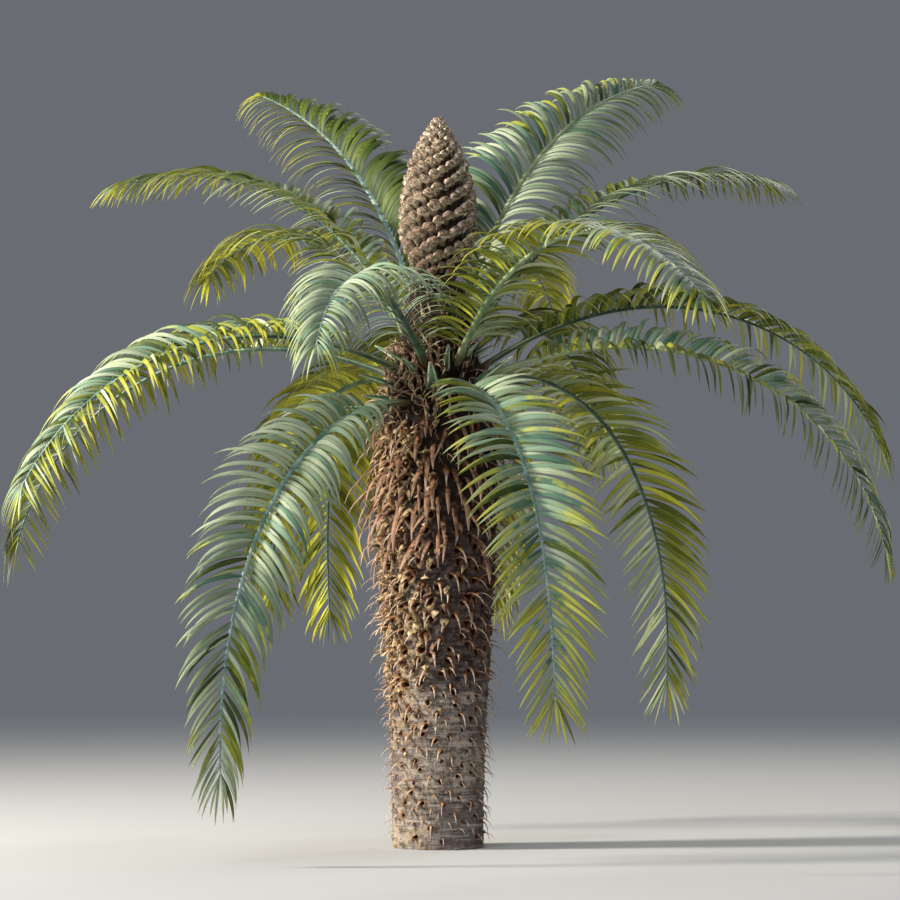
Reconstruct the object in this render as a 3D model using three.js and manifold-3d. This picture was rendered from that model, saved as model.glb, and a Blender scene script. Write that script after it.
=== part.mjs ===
// A sago palm, a rooted cycad about 2.1 m tall, in millimetres with +Z up.
// The origin is the middle of the flat cut under the trunk, and -Y faces the viewer.
// The trunk stays whole and carries a cone, arching fronds and cut leaf stalks.
// A frond is a rib with stiff leaflets on both sides. It arches over a wide gap, so it
// is split at the bend, and each half is a solid of its own.
import * as THREE from 'three';
import { mergeVertices } from 'three/addons/utils/BufferGeometryUtils.js';
import Module from 'manifold-3d';

const wasm = await Module();
wasm.setup();

// Clearance between solids that meet, the least distance between a leaflet and its neighbours,
// and the length under which an edge left by a cut is closed up.
const GAP = 0.3;
const CLEARANCE = 1.2;
const SHORTEST_EDGE = 0.02;

// Trunk: radius at each height, from the flat cut at ground level to the seat of the cone.
const TRUNK_RADII = [
  [0, 127], [60, 124], [260, 128], [400, 133], [540, 140], [680, 147],
  [800, 154], [950, 158], [1090, 156], [1180, 150], [1260, 134], [1330, 112],
  [1400, 96], [1470, 84], [1550, 62],
];
const TRUNK_SIDES = 20;
const TRUNK_ROWS = 40;
const TRUNK_FOOT = 24;
const LEAF_BASE_RELIEF = 6;

// Hooked spines of old leaf bases, dealt round the trunk at the golden angle.
const HOOKS = 72;
const HOOK_LOWEST = 95;
const HOOK_HIGHEST = 1135;
const HOOK_ROOT = 16;
const HOOK_REACH = 30;
const HOOK_DROP = 26;
const HOOK_WIDTH = 13;
const HOOK_THICKNESS = 9;
const GOLDEN_ANGLE = 137.5;

// Cone: radius at each height above its seat.
const CONE_RADII = [
  [0, 42], [40, 78], [85, 100], [125, 108], [180, 106], [230, 101],
  [280, 94], [330, 80], [375, 63], [415, 42], [445, 22], [464, 6],
];
const CONE_SIDES = 26;
const CONE_ROWS = 24;
const CONE_RELIEF = 5;

// Fronds: angles in degrees, lengths in millimetres. Azimuth 0 points along +X and 90 points back.
// Rise is the slope at the stalk, droop is how far it has turned down at the tip, and ease is how
// late it turns. Sweep bends it sideways, and twist rolls its blade about the rib. Stiff is how
// much flatter and straighter than the others its leaflets are held, from 0 to 1.
const FRONDS = [
  { azimuth: 109, rise: 52, droop: 36, ease: 1.15, sweep: 18, twist: 22, length: 1350, height: 1360 },
  { azimuth: 150, rise: 71, droop: 84, ease: 1.0, sweep: 8, twist: 0, length: 1140, height: 1340 },
  { azimuth: 121, rise: 43, droop: 71, ease: 1.3, sweep: -1, twist: 0, length: 1370, height: 1330 },
  { azimuth: -107, rise: 34, droop: 75, ease: 1.35, sweep: 8, twist: 0, length: 1270, height: 1310 },
  { azimuth: -151, rise: 24, droop: 83, ease: 1.15, sweep: 5, twist: 8, length: 1340, height: 1300 },
  { azimuth: 160, rise: 24, droop: 97, ease: 1.15, sweep: -1, twist: -15, length: 1420, height: 1280 },
  { azimuth: 113, rise: 22, droop: 137, ease: 1.25, sweep: -16, twist: 0, length: 1340, height: 1260 },
  { azimuth: -128, rise: 7, droop: 100, ease: 0.8, sweep: 12, twist: 42, length: 1470, height: 1220 },
  { azimuth: -72, rise: 4, droop: 87, ease: 1.0, sweep: -8, twist: 0, length: 1430, height: 1270, stiff: 1 },
  { azimuth: 48, rise: 19, droop: 115, ease: 0.9, sweep: 14, twist: 0, length: 1500, height: 1270, stiff: 1 },
  { azimuth: 11, rise: 35, droop: 101, ease: 1.25, sweep: -3, twist: 10, length: 1350, height: 1300 },
  { azimuth: -2, rise: 24, droop: 100, ease: 1.2, sweep: -1, twist: -25, length: 1380, height: 1280 },
  { azimuth: -61, rise: 51, droop: 91, ease: 1.15, sweep: 9, twist: 0, length: 1330, height: 1310 },
  { azimuth: 58, rise: 65, droop: 57, ease: 1.1, sweep: -6, twist: -27, length: 1350, height: 1360 },
  { azimuth: 35, rise: 54, droop: 64, ease: 1.15, sweep: 5, twist: 0, length: 1280, height: 1360 },
  { azimuth: 74, rise: 37, droop: 67, ease: 1.3, sweep: 4, twist: 0, length: 1360, height: 1330 },
  { azimuth: 97, rise: 32, droop: 118, ease: 1.1, sweep: 4, twist: 10, length: 1200, height: 1290 },
  { azimuth: 80, rise: 18, droop: 112, ease: 1.0, sweep: -6, twist: -10, length: 1100, height: 1240 },
  { azimuth: 63, rise: 32, droop: 92, ease: 1.15, sweep: 6, twist: 0, length: 1180, height: 1300 },
  { azimuth: 124, rise: 20, droop: 114, ease: 1.05, sweep: -6, twist: 0, length: 1130, height: 1250 },
];
const SPLIT_AFTER_PAIRS = 6;
const SWEEP_EASE = 1.5;
const PATH_STEPS = 240;

// A stalk starts inside the trunk, further out the lower it stands.
const STALK_TOP = 1360;
const STALK_TOP_RADIUS = 78;
const STALK_SPREAD = 0.27;

// Rib: half its width at the stalk and what is left at the tip, with a clasping base.
const RIB_HALF = 11;
const RIB_TIP_HALF = 2.5;
const RIB_BASE_FLARE = 7;
const RIB_FLARE_LENGTH = 0.035;
const RIB_SIDES = 3;
const RIB_STALK_PLACE = 0.05;

// Leaflets: pairs on a whole frond, where they start, their longest length and their section.
const LEAFLET_PAIRS = 13;
const LEAFLET_START = 0.13;
const LEAFLET_LENGTH = 230;
const LEAFLET_WIDTH = 46;
const LEAFLET_THICKNESS = 3;
const LEAFLET_FULL_AT = 0.35;
const LEAFLET_BASE_LOSS = 0.5;
const LEAFLET_TIP_LOSS = 0.42;
const LEAFLET_BASE_ANGLE = 80;
const LEAFLET_ANGLE_CHANGE = 45;
const LEAFLET_ANGLE_EASE = 1.2;
const LEAFLET_LIFT = 66;
const LEAFLET_LIFT_CHANGE = 42;
const LEAFLET_TURN = 125;
const LEAFLET_TURN_CHANGE = 40;
const LEAFLET_SAG = 0.1;
const LEAFLET_TIP_SAG = 0.8;
const LEAFLET_SAG_EASE = 1.5;
const STIFF_LIFT_LOSS = 0.4;
const STIFF_TURN_LOSS = 0.52;
const STIFF_SAG_LOSS = 0.88;
const LEAFLET_STEPS = 8;
const LEAFLET_MIDDLE_STEP = 4;

// Cut leaf stalks round the crown, each with the flat end that the saw left.
const STUBS = [
  { azimuth: -170, height: 1200, rise: 8, length: 180, half: 9 },
  { azimuth: -146, height: 1222, rise: 15, length: 130, half: 10 },
  { azimuth: -148, height: 1256, rise: 24, length: 145, half: 9 },
  { azimuth: -138, height: 1316, rise: 34, length: 100, half: 9 },
  { azimuth: -122, height: 1296, rise: 40, length: 85, half: 10 },
  { azimuth: -96, height: 1262, rise: 48, length: 105, half: 15 },
  { azimuth: -80, height: 1300, rise: 56, length: 105, half: 10 },
  { azimuth: -44, height: 1330, rise: 50, length: 85, half: 9 },
  { azimuth: -36, height: 1262, rise: 38, length: 165, half: 10 },
  { azimuth: -20, height: 1236, rise: 34, length: 105, half: 11 },
  { azimuth: -18, height: 1340, rise: 36, length: 85, half: 7 },
  { azimuth: 30, height: 1262, rise: 26, length: 110, half: 10 },
  { azimuth: 100, height: 1222, rise: 20, length: 100, half: 11 },
  { azimuth: 175, height: 1330, rise: 38, length: 95, half: 9 },
];
const STUB_SAG = 14;
const STUB_TAPER = 0.72;
const STUB_PLACES = [0, 0.35, 0.7, 1];

const trunkMaterial = new THREE.MeshStandardMaterial({ color: 0x8a6a4e, roughness: 0.9, metalness: 0 });
const coneMaterial = new THREE.MeshStandardMaterial({ color: 0xb08a66, roughness: 0.85, metalness: 0 });
const frondMaterial = new THREE.MeshStandardMaterial({ color: 0x6f8a3c, roughness: 0.6, metalness: 0 });
const stubMaterial = new THREE.MeshStandardMaterial({ color: 0x3f6b4a, roughness: 0.6, metalness: 0 });

const rad = THREE.MathUtils.degToRad;
const DOWN = new THREE.Vector3(0, 0, -1);

// Straight-line value at x between the pairs of a list.
function valueAt(pairs, x) {
  const after = pairs.findIndex((pair) => pair[0] >= x);
  if (after === 0) return pairs[0][1];
  if (after < 0) return pairs[pairs.length - 1][1];
  const [x0, y0] = pairs[after - 1];
  const [x1, y1] = pairs[after];
  return y0 + ((y1 - y0) * (x - x0)) / (x1 - x0);
}

// A closed mesh as a solid that can be joined and cut.
function solidOf(geometry) {
  geometry.deleteAttribute('normal');
  geometry.deleteAttribute('uv');
  const merged = mergeVertices(geometry, 1e-3);
  const vertProperties = new Float32Array(merged.attributes.position.array);
  const triVerts = new Uint32Array(merged.index.array);
  return new wasm.Manifold(new wasm.Mesh({ numProp: 3, vertProperties, triVerts }));
}

// The largest closed body of a solid, so that no loose scrap is kept.
function largestBody(solid) {
  const bodies = solid.decompose();
  return bodies.reduce((best, body) => (body.volume() > best.volume() ? body : best));
}

function addMesh(group, solid, name, material) {
  const { vertProperties, triVerts, numProp } = solid.simplify(SHORTEST_EDGE).getMesh();
  const geometry = new THREE.BufferGeometry();
  const points = [];
  for (let i = 0; i < vertProperties.length; i += numProp) {
    points.push(vertProperties[i], vertProperties[i + 1], vertProperties[i + 2]);
  }
  geometry.setAttribute('position', new THREE.Float32BufferAttribute(points, 3));
  geometry.setIndex(Array.from(triVerts));
  geometry.computeVertexNormals();
  const mesh = new THREE.Mesh(geometry, material);
  mesh.name = name;
  group.add(mesh);
}

// A turned body with raised diamonds in staggered rows, as old leaf bases or cone scales lie.
function turnedBody(radii, sides, rows, foot, relief, grow) {
  const top = radii[radii.length - 1][0];
  const profile = [new THREE.Vector2(0, -grow)];
  const heights = [0, foot];
  for (let row = 1; row <= rows; row += 1) heights.push(foot + ((top - foot) * row) / rows);
  heights.forEach((height) => profile.push(new THREE.Vector2(valueAt(radii, height) + grow, height)));
  profile[1].y = -grow;
  profile.push(new THREE.Vector2(0, top + grow));
  profile[profile.length - 2].y = top + grow;
  const lathe = new THREE.LatheGeometry(profile, sides);
  const position = lathe.attributes.position;
  for (let i = 0; i < position.count; i += 1) {
    const row = i % profile.length;
    const column = Math.floor(i / profile.length) % sides;
    const inRelief = row > 2 && row < profile.length - 3;
    const raised = (row + column) % 2 === 0 ? relief : -relief;
    const radius = profile[row].x;
    const scale = inRelief ? (radius + raised) / radius : 1;
    position.setX(i, position.getX(i) * scale);
    position.setZ(i, position.getZ(i) * scale);
  }
  lathe.rotateX(Math.PI / 2);
  return solidOf(lathe);
}

// A stiff pointed blade of eight faces that bends once, at its middle.
function blade(root, middle, tip, across, width, thickness) {
  const along = tip.clone().sub(root).normalize();
  const side = across.clone().addScaledVector(along, -across.dot(along)).normalize();
  const normal = new THREE.Vector3().crossVectors(side, along);
  const geometry = new THREE.OctahedronGeometry(1, 0);
  const position = geometry.attributes.position;
  for (let i = 0; i < position.count; i += 1) {
    const corner = new THREE.Vector3().fromBufferAttribute(position, i);
    const point = middle.clone();
    if (corner.y < -0.5) point.copy(root);
    if (corner.y > 0.5) point.copy(tip);
    if (Math.abs(corner.y) < 0.5) {
      point.addScaledVector(side, (corner.x * width) / 2);
      point.addScaledVector(normal, (corner.z * thickness) / 2);
    }
    position.setXYZ(i, point.x, point.y, point.z);
  }
  return geometry;
}

const frameNear = (frames, t) => frames[Math.round(t * PATH_STEPS)];

// Frames along a limb that starts at a point and turns down, sideways and about itself.
function framesOf(limb, start) {
  const frames = [];
  const point = start.clone();
  const frameAt = (t) => {
    const slope = rad(limb.rise - limb.droop * t ** limb.ease);
    const heading = rad(limb.azimuth + limb.sweep * t ** SWEEP_EASE);
    const roll = rad(limb.twist) * (1 - (1 - t) ** 3);
    const level = Math.cos(slope);
    const along = new THREE.Vector3(level * Math.cos(heading), level * Math.sin(heading), Math.sin(slope));
    const flat = new THREE.Vector3(Math.sin(heading), -Math.cos(heading), 0);
    const upper = new THREE.Vector3().crossVectors(flat, along);
    const across = flat.clone().multiplyScalar(Math.cos(roll)).addScaledVector(upper, Math.sin(roll));
    const face = upper.clone().multiplyScalar(Math.cos(roll)).addScaledVector(flat, -Math.sin(roll));
    return { along, across, face };
  };
  for (let step = 0; step <= PATH_STEPS; step += 1) {
    frames.push({ t: step / PATH_STEPS, point: point.clone(), ...frameAt(step / PATH_STEPS) });
    point.addScaledVector(frameAt((step + 0.5) / PATH_STEPS).along, limb.length / PATH_STEPS);
  }
  return frames;
}

// A closed tube with a ring at each place along the frames, wider or narrower by a rule.
function tube(frames, places, halfAt, setBack) {
  const pieces = places.length - 1;
  const geometry = new THREE.CylinderGeometry(1, 1, 1, RIB_SIDES, pieces, false, Math.PI / RIB_SIDES);
  const position = geometry.attributes.position;
  for (let i = 0; i < position.count; i += 1) {
    const ring = Math.round((position.getY(i) + 0.5) * pieces);
    const frame = frameNear(frames, places[ring]);
    const half = halfAt(places[ring]);
    const point = frame.point.clone();
    if (ring === 0) point.addScaledVector(frame.along, setBack);
    point.addScaledVector(frame.across, position.getX(i) * half);
    point.addScaledVector(frame.face, position.getZ(i) * half);
    position.setXYZ(i, point.x, point.y, point.z);
  }
  return solidOf(geometry);
}

// Place along the rib after a number of leaflet pairs.
function placeAfter(pairs) {
  return LEAFLET_START + ((1 - LEAFLET_START) * pairs) / LEAFLET_PAIRS;
}

function ribHalf(t) {
  return RIB_TIP_HALF + RIB_HALF * (1 - t) + RIB_BASE_FLARE * Math.exp(-t / RIB_FLARE_LENGTH);
}

// Share of the longest leaflet at a place along the blade: short at the stalk and at the tip.
function leafletShare(u) {
  if (u < LEAFLET_FULL_AT) return 1 - LEAFLET_BASE_LOSS * (1 - u / LEAFLET_FULL_AT) ** 2;
  return 1 - LEAFLET_TIP_LOSS * ((u - LEAFLET_FULL_AT) / (1 - LEAFLET_FULL_AT)) ** 2;
}

// Root, middle and tip of a leaflet that leaves the rib at a slant, rises and folds over.
function leafletPath(frame, u, side, stiff) {
  const slant = rad(LEAFLET_BASE_ANGLE - LEAFLET_ANGLE_CHANGE * u ** LEAFLET_ANGLE_EASE);
  const lift = rad((LEAFLET_LIFT - LEAFLET_LIFT_CHANGE * u) * (1 - STIFF_LIFT_LOSS * stiff));
  const turn = rad((LEAFLET_TURN - LEAFLET_TURN_CHANGE * u) * (1 - STIFF_TURN_LOSS * stiff));
  const tipSag = LEAFLET_TIP_SAG * (1 - STIFF_SAG_LOSS * stiff);
  const sag = LEAFLET_SAG + tipSag * u ** LEAFLET_SAG_EASE;
  const point = frame.point.clone();
  const points = [point.clone()];
  const step = (LEAFLET_LENGTH * leafletShare(u)) / LEAFLET_STEPS;
  for (let i = 0; i < LEAFLET_STEPS; i += 1) {
    const share = (i + 0.5) / LEAFLET_STEPS;
    const rise = lift - turn * share;
    const direction = frame.along.clone().multiplyScalar(Math.cos(slant));
    direction.addScaledVector(frame.across, side * Math.sin(slant) * Math.cos(rise));
    direction.addScaledVector(frame.face, Math.sin(slant) * Math.sin(rise));
    direction.addScaledVector(DOWN, sag * share).normalize();
    point.addScaledVector(direction, step);
    points.push(point.clone());
  }
  return [points[0], points[LEAFLET_MIDDLE_STEP], points[LEAFLET_STEPS]];
}

const trunkSolid = (grow) => turnedBody(TRUNK_RADII, TRUNK_SIDES, TRUNK_ROWS, TRUNK_FOOT, LEAF_BASE_RELIEF, grow);

function hookedTrunk() {
  let solid = trunkSolid(0);
  for (let i = 0; i < HOOKS; i += 1) {
    const height = HOOK_LOWEST + ((HOOK_HIGHEST - HOOK_LOWEST) * (i + 0.5)) / HOOKS;
    const angle = rad(GOLDEN_ANGLE * i);
    const outward = new THREE.Vector3(Math.cos(angle), Math.sin(angle), 0);
    const across = new THREE.Vector3(-Math.sin(angle), Math.cos(angle), 0);
    const radius = valueAt(TRUNK_RADII, height);
    const at = (reach, rise) => outward.clone().multiplyScalar(radius + reach).setZ(height + rise);
    const hook = blade(
      at(-HOOK_ROOT, -HOOK_ROOT / 2),
      at(HOOK_REACH * 0.55, 4),
      at(HOOK_REACH, -HOOK_DROP),
      across,
      HOOK_WIDTH,
      HOOK_THICKNESS,
    );
    solid = solid.add(solidOf(hook));
  }
  return largestBody(solid);
}

// Ribs, cut stalks and the cone are limbs: they are made first, and leaflets keep clear of them.
const trunk = hookedTrunk();
const stalkCutter = trunkSolid(GAP * 2);
const limbs = [{ name: 'trunk', solid: trunk, material: trunkMaterial, node: 'trunk' }];

const seat = TRUNK_RADII[TRUNK_RADII.length - 1][0] + GAP;
const cone = turnedBody(CONE_RADII, CONE_SIDES, CONE_ROWS, CONE_RADII[1][0] / 4, CONE_RELIEF, 0);
limbs.push({ name: 'cone', solid: cone.translate([0, 0, seat]), material: coneMaterial });

STUBS.forEach((stub, index) => {
  const angle = rad(stub.azimuth);
  const radius = valueAt(TRUNK_RADII, stub.height) - 20;
  const start = new THREE.Vector3(radius * Math.cos(angle), radius * Math.sin(angle), stub.height);
  const limb = { ...stub, droop: STUB_SAG, ease: 1, sweep: 0, twist: 0 };
  const halfAt = (t) => stub.half * (1 - (1 - STUB_TAPER) * t);
  const solid = tube(framesOf(limb, start), STUB_PLACES, halfAt, 0);
  const name = `cut_stalk_${String(index + 1).padStart(2, '0')}`;
  limbs.push({ name, solid: largestBody(solid.subtract(stalkCutter)), material: stubMaterial });
});

const rings = [0, RIB_STALK_PLACE];
for (let pair = 0; pair < LEAFLET_PAIRS; pair += 1) rings.push(placeAfter(pair + 0.5));
rings.push(1);
const bend = placeAfter(SPLIT_AFTER_PAIRS);

const fronds = [];
FRONDS.forEach((frond, index) => {
  const angle = rad(frond.azimuth);
  const radius = STALK_TOP_RADIUS + (STALK_TOP - frond.height) * STALK_SPREAD;
  const start = new THREE.Vector3(radius * Math.cos(angle), radius * Math.sin(angle), frond.height);
  const frames = framesOf(frond, start);
  const name = `frond_${String(index + 1).padStart(2, '0')}`;
  const halves = [
    { name: `${name}_inner`, from: 0, to: bend, places: [...rings.filter((t) => t < bend), bend] },
    { name: `${name}_outer`, from: bend, to: 1, places: [bend, ...rings.filter((t) => t > bend)] },
  ];
  halves.forEach((half) => {
    const setBack = half.from > 0 ? GAP : 0;
    let solid = tube(frames, half.places, ribHalf, setBack);
    if (half.from === 0) solid = largestBody(solid.subtract(stalkCutter));
    const limb = { name: half.name, solid, material: frondMaterial };
    limbs.push(limb);
    fronds.push({ ...half, frames, limb, stiff: frond.stiff ?? 0 });
  });
});

// Box of a solid, a little larger, to find what a leaflet could touch.
function boxOf(solid) {
  const { min, max } = solid.boundingBox();
  return new THREE.Box3(new THREE.Vector3(...min), new THREE.Vector3(...max)).expandByScalar(GAP);
}

const taken = limbs.map((limb) => ({ name: limb.name, solid: limb.solid, box: boxOf(limb.solid) }));

function touchesOther(probe, name) {
  const box = boxOf(probe);
  return taken.some((other) => {
    if (other.name === name || !other.box.intersectsBox(box)) return false;
    return other.solid.intersect(probe).volume() > 0;
  });
}

fronds.forEach((frond) => {
  for (let i = 0; i < LEAFLET_PAIRS; i += 1) {
    const u = (i + 0.5) / LEAFLET_PAIRS;
    const t = placeAfter(i + 0.5);
    if (t < frond.from || t >= frond.to) continue;
    const frame = frameNear(frond.frames, t);
    for (const side of [-1, 1]) {
      const [root, middle, tip] = leafletPath(frame, u, side, frond.stiff);
      const width = LEAFLET_WIDTH * (0.6 + 0.4 * leafletShare(u));
      const beyond = tip.clone().sub(middle).normalize().multiplyScalar(CLEARANCE).add(tip);
      const wide = width + 2 * CLEARANCE;
      const probe = blade(root, middle, beyond, frame.along, wide, LEAFLET_THICKNESS + 2 * CLEARANCE);
      if (touchesOther(solidOf(probe), frond.name)) continue;
      const leaflet = solidOf(blade(root, middle, tip, frame.along, width, LEAFLET_THICKNESS));
      taken.push({ name: frond.name, solid: leaflet, box: boxOf(leaflet) });
      frond.limb.solid = frond.limb.solid.add(leaflet);
    }
  }
});

const group = new THREE.Group();
limbs.forEach((limb) => addMesh(group, limb.solid, limb.name, limb.material));

export default group;
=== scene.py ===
"""A sago palm, rooted: a rough trunk, a tall seed cone and a full crown of feather fronds.

Everything is in metres in the part's own frame: the origin is the middle of the flat cut
under the trunk, +Z is up and -Y faces the viewer. The frond rule is the one that made the
solids, written again here and carried to narrow leaflets.
"""

import bpy
import numpy as np
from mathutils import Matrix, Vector


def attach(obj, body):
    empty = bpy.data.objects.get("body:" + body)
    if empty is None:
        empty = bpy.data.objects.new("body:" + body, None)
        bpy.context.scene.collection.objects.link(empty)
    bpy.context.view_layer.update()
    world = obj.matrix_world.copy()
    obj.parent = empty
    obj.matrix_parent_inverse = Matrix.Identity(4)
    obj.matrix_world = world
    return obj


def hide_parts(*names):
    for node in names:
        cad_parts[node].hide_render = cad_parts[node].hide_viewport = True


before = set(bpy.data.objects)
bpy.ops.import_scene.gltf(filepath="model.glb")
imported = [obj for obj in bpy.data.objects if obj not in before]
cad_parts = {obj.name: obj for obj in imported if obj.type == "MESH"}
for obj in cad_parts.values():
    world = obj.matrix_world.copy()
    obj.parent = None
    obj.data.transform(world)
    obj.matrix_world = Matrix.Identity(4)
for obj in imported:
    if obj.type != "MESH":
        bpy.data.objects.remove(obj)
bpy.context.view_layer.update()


# Camera. The photo looks level at the middle of the plant from far off, so that the
# trunk's foot and the cone are both seen square on.
CAMERA_PLACE = (0.033, -16.0, 1.092)
SENSOR = 36.0
VIEW_WIDTH = 2.475
FURTHEST_SEEN = 200.0


def placed(name, data):
    """A new object in the scene that carries the data."""
    made = bpy.data.objects.new(name, data)
    bpy.context.scene.collection.objects.link(made)
    return made


camera = placed("camera", bpy.data.cameras.new("camera"))
camera.data.sensor_width = SENSOR
camera.data.lens = SENSOR * -CAMERA_PLACE[1] / VIEW_WIDTH
camera.data.clip_end = FURTHEST_SEEN
camera.location = CAMERA_PLACE
camera.rotation_euler = (np.pi / 2, 0.0, 0.0)
bpy.context.scene.camera = camera
bpy.context.scene.view_settings.view_transform = "Standard"


# Light. One warm lamp stands high on the left, a broad cool one fills from in front, and
# one behind draws the edges of the crown, in a grey room.
# Each lamp's name, place, size, power in watts and colour.
LAMPS = [
    ("key_lamp", (-6.9, -1.3, 4.3), 1.1, 1150.0, (1.0, 0.94, 0.84)),
    ("fill_lamp", (-2.6, -6.2, 4.8), 4.0, 225.0, (0.90, 0.95, 1.0)),
    ("edge_lamp", (3.0, 5.0, 5.4), 2.5, 230.0, (1.0, 0.98, 0.92)),
]
LIT_POINT = Vector((0.0, 0.0, 1.1))
ROOM_LIGHT = 0.25
ROOM_SHADE = (0.57, 0.61, 0.68, 1.0)

for name, place, size, power, tint in LAMPS:
    lamp = placed(name, bpy.data.lights.new(name, "AREA"))
    lamp.data.shape = "DISK"
    lamp.data.size = size
    lamp.data.energy = power
    lamp.data.color = tint
    lamp.location = place
    lamp.rotation_euler = (LIT_POINT - lamp.location).to_track_quat("-Z", "Y").to_euler()

room = bpy.data.worlds.new("room")
room.use_nodes = True
room_sockets = room.node_tree.nodes["Background"].inputs
room_sockets["Color"].default_value = ROOM_SHADE
room_sockets["Strength"].default_value = ROOM_LIGHT
bpy.context.scene.world = room


class Value:
    """One shader socket. Arithmetic on it adds the Math nodes that work it out."""

    def __init__(self, finish, socket):
        self.finish = finish
        self.socket = socket

    def math(self, operation, *numbers):
        sockets = dict(enumerate(numbers))
        return self.finish.node("ShaderNodeMath", {"operation": operation}, sockets)

    def __add__(self, other):
        return self.math("ADD", self, other)

    def __sub__(self, other):
        return self.math("SUBTRACT", self, other)

    def __rsub__(self, other):
        return self.math("SUBTRACT", other, self)

    def __mul__(self, other):
        return self.math("MULTIPLY", self, other)

    __radd__ = __add__
    __rmul__ = __mul__

    def between(self, low, high):
        """0 at low, 1 at high and a smooth climb between them. low may be the larger one."""
        settings = {"interpolation_type": "SMOOTHSTEP"}
        sockets = {"Value": self, "From Min": low, "From Max": high}
        return self.finish.node("ShaderNodeMapRange", settings, sockets)


class Finish:
    """A material in the making, with one Principled shader."""

    def __init__(self, name, **constants):
        self.material = bpy.data.materials.new(name)
        self.material.use_nodes = True
        self.tree = self.material.node_tree
        self.shader = self.tree.nodes["Principled BSDF"]
        for socket, value in constants.items():
            self.shader.inputs[socket.replace("_", " ")].default_value = value

    def node(self, kind, settings=None, sockets=None, out=0):
        """Adds a node: its settings first, then the values or links of its sockets."""
        made = self.tree.nodes.new(kind)
        for key, value in (settings or {}).items():
            setattr(made, key, value)
        for key, value in (sockets or {}).items():
            if isinstance(value, Value):
                self.tree.links.new(value.socket, made.inputs[key])
            else:
                made.inputs[key].default_value = value
        return Value(self, made.outputs[out])

    def place(self, tall=1.0):
        """The point on the piece in metres, with its height multiplied by tall."""
        sockets = {"Vector": self.node("ShaderNodeTexCoord", out=3), "Scale": (1.0, 1.0, tall)}
        return self.node("ShaderNodeMapping", sockets=sockets)

    def height(self):
        """Metres above the ground."""
        return self.node("ShaderNodeSeparateXYZ", sockets={0: self.place()}, out=2)

    def cloud(self, scale, detail=3.0, tall=1.0, rough=0.55):
        """Soft noise with scale patches to a metre."""
        sockets = {"Vector": self.place(tall), "Scale": scale, "Detail": detail, "Roughness": rough}
        return self.node("ShaderNodeTexNoise", sockets=sockets)

    def own(self, name):
        """A number that the mesh carries at each point."""
        settings = {"attribute_type": "GEOMETRY", "attribute_name": name}
        return self.node("ShaderNodeAttribute", settings, out=2)

    def blend(self, share, first, second):
        """Colour that goes from first to second as share goes from 0 to 1."""
        first, second = (c if isinstance(c, Value) else (*c, 1.0) for c in (first, second))
        sockets = {0: share, 6: first, 7: second}
        return self.node("ShaderNodeMix", {"data_type": "RGBA"}, sockets, out=2)

    def coats(self, shade, *layers):
        """A colour and those laid over it in turn, each a share and a colour."""
        for share, over in layers:
            shade = self.blend(share, shade, over)
        return shade

    def set(self, socket, value):
        self.tree.links.new(value.socket, self.shader.inputs[socket])

    def relief(self, height, depth):
        """Bump of a depth in metres, driven by a height from 0 to 1."""
        sockets = {"Height": height, "Distance": depth}
        self.set("Normal", self.node("ShaderNodeBump", sockets=sockets))


# Floor. A plain pale floor with a dull paint that lets the plant's shadow show. It fades
# into the room, so no edge shows behind the plant.
FLOOR_REACH = 14.0
FLOOR_FADE = (1.2, 9.0)

floor_finish = Finish("floor_paint", Roughness=0.9, Base_Color=(0.50, 0.50, 0.50, 1.0))
floor_far = floor_finish.node(
    "ShaderNodeVectorMath", {"operation": "LENGTH"}, {0: floor_finish.place()}, out=1
).between(*FLOOR_FADE)
floor_paint = Value(floor_finish, floor_finish.shader.outputs[0])
floor_clear = floor_finish.node("ShaderNodeBsdfTransparent")
floor_sockets = {0: floor_far, 1: floor_paint, 2: floor_clear}
floor_mix = floor_finish.node("ShaderNodeMixShader", sockets=floor_sockets)
floor_end = floor_finish.tree.nodes["Material Output"].inputs[0]
floor_finish.tree.links.new(floor_mix.socket, floor_end)

floor_mesh = bpy.data.meshes.new("floor")
floor_points = [
    (x * FLOOR_REACH, y * FLOOR_REACH, 0) for x, y in [(-1, -1), (1, -1), (1, 1), (-1, 1)]
]
floor_mesh.from_pydata(floor_points, [], [(0, 1, 2, 3)])
floor_mesh.materials.append(floor_finish.material)
floor = placed("floor", floor_mesh)


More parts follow.
